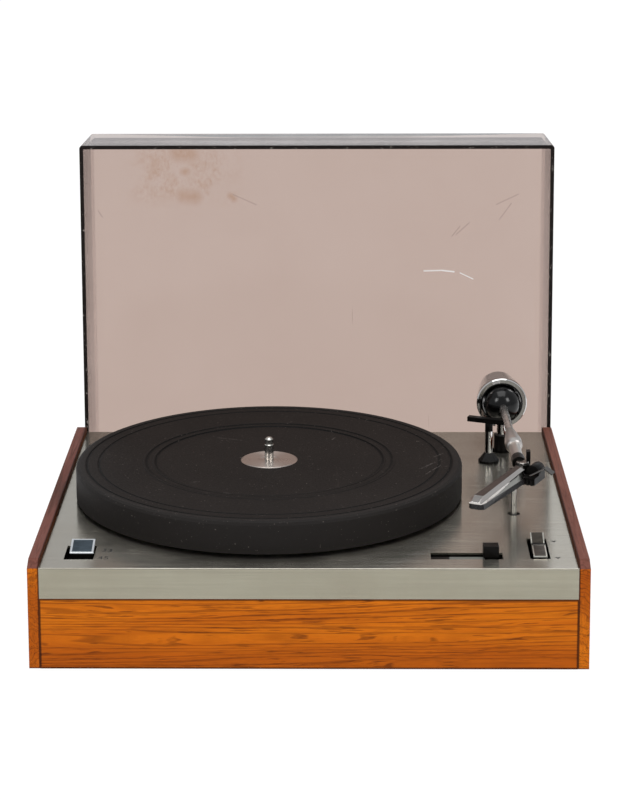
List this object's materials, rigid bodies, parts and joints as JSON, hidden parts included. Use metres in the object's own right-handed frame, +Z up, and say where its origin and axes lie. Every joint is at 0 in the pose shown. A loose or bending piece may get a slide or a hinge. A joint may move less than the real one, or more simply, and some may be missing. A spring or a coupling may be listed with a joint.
{
  "type": "record player",
  "caption": "Belt driven record player with a wood plinth, brushed deck, rubber covered platter, balanced tonearm with cue lift, and a loose tinted dust cover standing behind it",
  "frame": {"origin": "middle of the whole outline on the table, with the cover standing behind the plinth", "axes": "+Z up, +Y from the front controls to the back, +X to the right as seen from the front"},
  "size_m": [0.402, 0.406, 0.325],
  "materials": {
    "wood_side": "oiled veneer, reddish brown",
    "wood_front": "oiled veneer, orange brown, grain along the length",
    "board": "plain fibreboard",
    "pine": "bare softwood",
    "deck_metal": "brushed along the width, anodised",
    "steel": "plain steel",
    "zinc": "zinc plated",
    "brass": "turned",
    "spindle_metal": "polished steel",
    "cast": "cast and turned",
    "black_rubber": "matte black",
    "disc_metal": "radially brushed",
    "motor_metal": "dark enamel",
    "black_plastic": "moulded, black",
    "pale_plastic": "moulded, light grey",
    "ivory_plastic": "moulded, ivory",
    "ball_plastic": "polished black",
    "chrome": "bright plated",
    "tube_metal": "drawn tube, satin",
    "stylus_metal": "fine steel",
    "cover_acrylic": "clear acrylic tinted pinkish brown"
  },
  "bodies": {
    "plinth": {"left_side_panel": "wood_side", "right_side_panel": "wood_side", "front_board": "wood_front", "rear_board": "board", "base_board": "board", "corner_blocks": "pine", "deck_plate": "deck_metal", "base_screws": "steel", "bearing_screws": "steel", "motor_screws": "steel", "chassis_studs": "steel", "cue_lever_pin": "steel", "thrust_ball": "steel", "suspension_springs": "steel", "chassis_plate": "zinc", "motor_posts": "zinc", "bearing_housing": "brass", "rubber_feet": "black_rubber", "drive_belt": "black_rubber", "cable_grommets": "black_rubber", "motor_body": "motor_metal", "mains_switch": "black_plastic", "control_guides": "black_plastic", "scale_dark_strip": "black_plastic", "arm_rest_bush": "black_plastic", "arm_rest_cradle": "black_plastic", "cue_lift_base": "black_plastic", "arm_pedestal": "black_plastic", "terminal_strip": "pale_plastic", "scale_light_strip": "pale_plastic", "arm_rest_post": "chrome", "cue_lift_tube": "chrome"},
    "platter": {"centre_spindle": "spindle_metal", "inner_platter": "cast", "outer_platter": "cast", "rubber_mat": "black_rubber", "centre_disc": "disc_metal"},
    "pulley": {"motor_pulley": "cast"},
    "arm_mount": {"arm_column": "chrome", "tilt_pin": "steel"},
    "tonearm": {"arm_ball": "ball_plastic", "arm_tube": "tube_metal", "balance_stub": "tube_metal", "arm_collar": "chrome", "arm_socket": "black_plastic", "clamp_screw": "chrome", "headshell_cover": "chrome", "headshell_body": "black_plastic", "headshell_housing": "black_plastic", "finger_lift": "chrome", "stylus_holder": "ivory_plastic", "stylus": "stylus_metal"},
    "balance_weight": {"counterweight": "chrome"},
    "cue_platform": {"cue_lift_bar": "black_plastic"},
    "cue_key": {"cue_lever": "chrome"},
    "speed_key": {"speed_key_cap": "chrome", "speed_key_stem": "black_plastic"},
    "start_slider": {"start_knob": "black_plastic"},
    "cover": {"dust_cover": "cover_acrylic"}
  },
  "joints": [
    {"name": "platter_spin", "type": "hinge", "parent": "plinth", "child": "platter", "pos_m": [-0.0328, -0.03315, 0.106], "axis": [0, 0, 1], "continuous": true},
    {"name": "pulley_spin", "type": "hinge", "parent": "plinth", "child": "pulley", "pos_m": [-0.12291, -0.09624, 0.0721], "axis": [0, 0, 1], "continuous": true},
    {"name": "arm_swing", "type": "hinge", "parent": "plinth", "child": "arm_mount", "pos_m": [0.1556, 0.08005, 0.092], "axis": [0, 0, -1], "range_deg": [0, 43]},
    {"name": "arm_lift", "type": "hinge", "parent": "arm_mount", "child": "tonearm", "pos_m": [0.1556, 0.08005, 0.1184], "axis": [-1, 0, 0], "range_deg": [0, 5]},
    {"name": "weight_slide", "type": "slide", "parent": "tonearm", "child": "balance_weight", "axis": [-0.0161, 0.9999, 0], "range_m": [0, 0.004]},
    {"name": "cue_lever_turn", "type": "hinge", "parent": "plinth", "child": "cue_key", "pos_m": [0.1669, -0.16095, 0.0696], "axis": [-1, 0, 0], "range_deg": [0, 12]},
    {"name": "cue_platform_rise", "type": "slide", "parent": "plinth", "child": "cue_platform", "axis": [0, 0, 1], "range_m": [0, 0.00306]},
    {"name": "speed_key_slide", "type": "slide", "parent": "plinth", "child": "speed_key", "axis": [0, -1, 0], "range_m": [0, 0.0065]},
    {"name": "start_slide", "type": "slide", "parent": "plinth", "child": "start_slider", "axis": [-1, 0, 0], "range_m": [0, 0.036]},
    {"name": "cover_lift", "type": "slide", "parent": "plinth", "child": "cover", "axis": [0, 0, 1], "range_m": [0, 0.12]}
  ],
  "couplings": [
    {"joint": "pulley_spin", "follows": "platter_spin", "ratio": 11.25},
    {"joint": "arm_lift", "follows": "cue_lever_turn", "ratio": 0.41666},
    {"joint": "cue_platform_rise", "follows": "cue_lever_turn", "m_per_rad": 0.01456}
  ]
}
